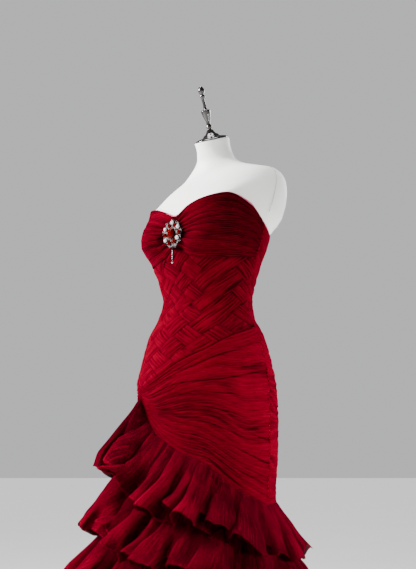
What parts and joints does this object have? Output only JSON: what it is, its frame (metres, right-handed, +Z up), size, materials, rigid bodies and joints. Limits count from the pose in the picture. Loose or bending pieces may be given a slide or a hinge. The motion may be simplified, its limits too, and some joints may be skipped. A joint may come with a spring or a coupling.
{
  "type": "strapless mermaid dress on limbless dress form",
  "caption": "Strapless mermaid dress with plaited midriff, draped hips and tiered ruffles, on a limbless dress form with turned neck cap and round foot.",
  "frame": {"origin": "middle of the foot's underside, on the floor", "axes": "+Z up the pole, -Y out of the front of the dress, +X to the wearer's left"},
  "size_m": [0.8857, 0.8974, 1.5494],
  "materials": {
    "chiffon": "crimson crepe chiffon, pleated, matte with a soft sheen",
    "organza": "crimson mesh organza",
    "lining": "dark crimson lining satin",
    "shell": "smooth white, matte",
    "lacquer": "black gloss lacquer",
    "silver": "aged silver plate, openwork",
    "garnet": "cut red glass stones",
    "crystal": "cut clear glass stones"
  },
  "bodies": {
    "dress_on_form": {"bust_drape_left": "chiffon", "bust_drape_right": "chiffon", "midriff_panel": "lining", "plait_rising_1": "chiffon", "plait_rising_2": "chiffon", "plait_rising_3": "chiffon", "plait_rising_4": "chiffon", "plait_rising_5": "chiffon", "plait_rising_6": "chiffon", "plait_rising_7": "chiffon", "plait_rising_8": "chiffon", "plait_falling_1": "chiffon", "plait_falling_2": "chiffon", "plait_falling_3": "chiffon", "plait_falling_4": "chiffon", "plait_falling_5": "chiffon", "plait_falling_6": "chiffon", "plait_falling_7": "chiffon", "plait_falling_8": "chiffon", "plait_falling_9": "chiffon", "plait_falling_10": "chiffon", "hip_drape_left": "chiffon", "hip_drape_right": "chiffon", "back_panel_left": "chiffon", "back_panel_right": "chiffon", "underskirt_front_left": "lining", "underskirt_front_right": "lining", "underskirt_back_left": "lining", "underskirt_back_right": "lining", "ruffle_1": "organza", "ruffle_2": "organza", "ruffle_3": "organza", "ruffle_4": "organza", "ruffle_5": "organza", "ruffle_6": "organza", "brooch_plate": "silver", "brooch_centre_stone": "garnet", "brooch_crystal_1": "crystal", "brooch_crystal_2": "crystal", "brooch_crystal_3": "crystal", "brooch_crystal_4": "crystal", "brooch_crystal_5": "crystal", "brooch_garnet_1": "garnet", "brooch_garnet_2": "garnet", "brooch_garnet_3": "garnet", "brooch_garnet_4": "garnet", "brooch_garnet_5": "garnet", "brooch_garnet_6": "garnet", "form_body": "shell", "neck_cap_finial": "lacquer", "stand_foot": "lacquer", "stand_pole": "lacquer"},
    "brooch_drop_body": {"brooch_drop": "crystal"}
  },
  "joints": [
    {"name": "brooch_drop_swing", "type": "hinge", "parent": "dress_on_form", "child": "brooch_drop_body", "pos_m": [0, -0.12737, 1.1446], "axis": [1, 0, 0], "range_deg": [-60, 8]}
  ]
}
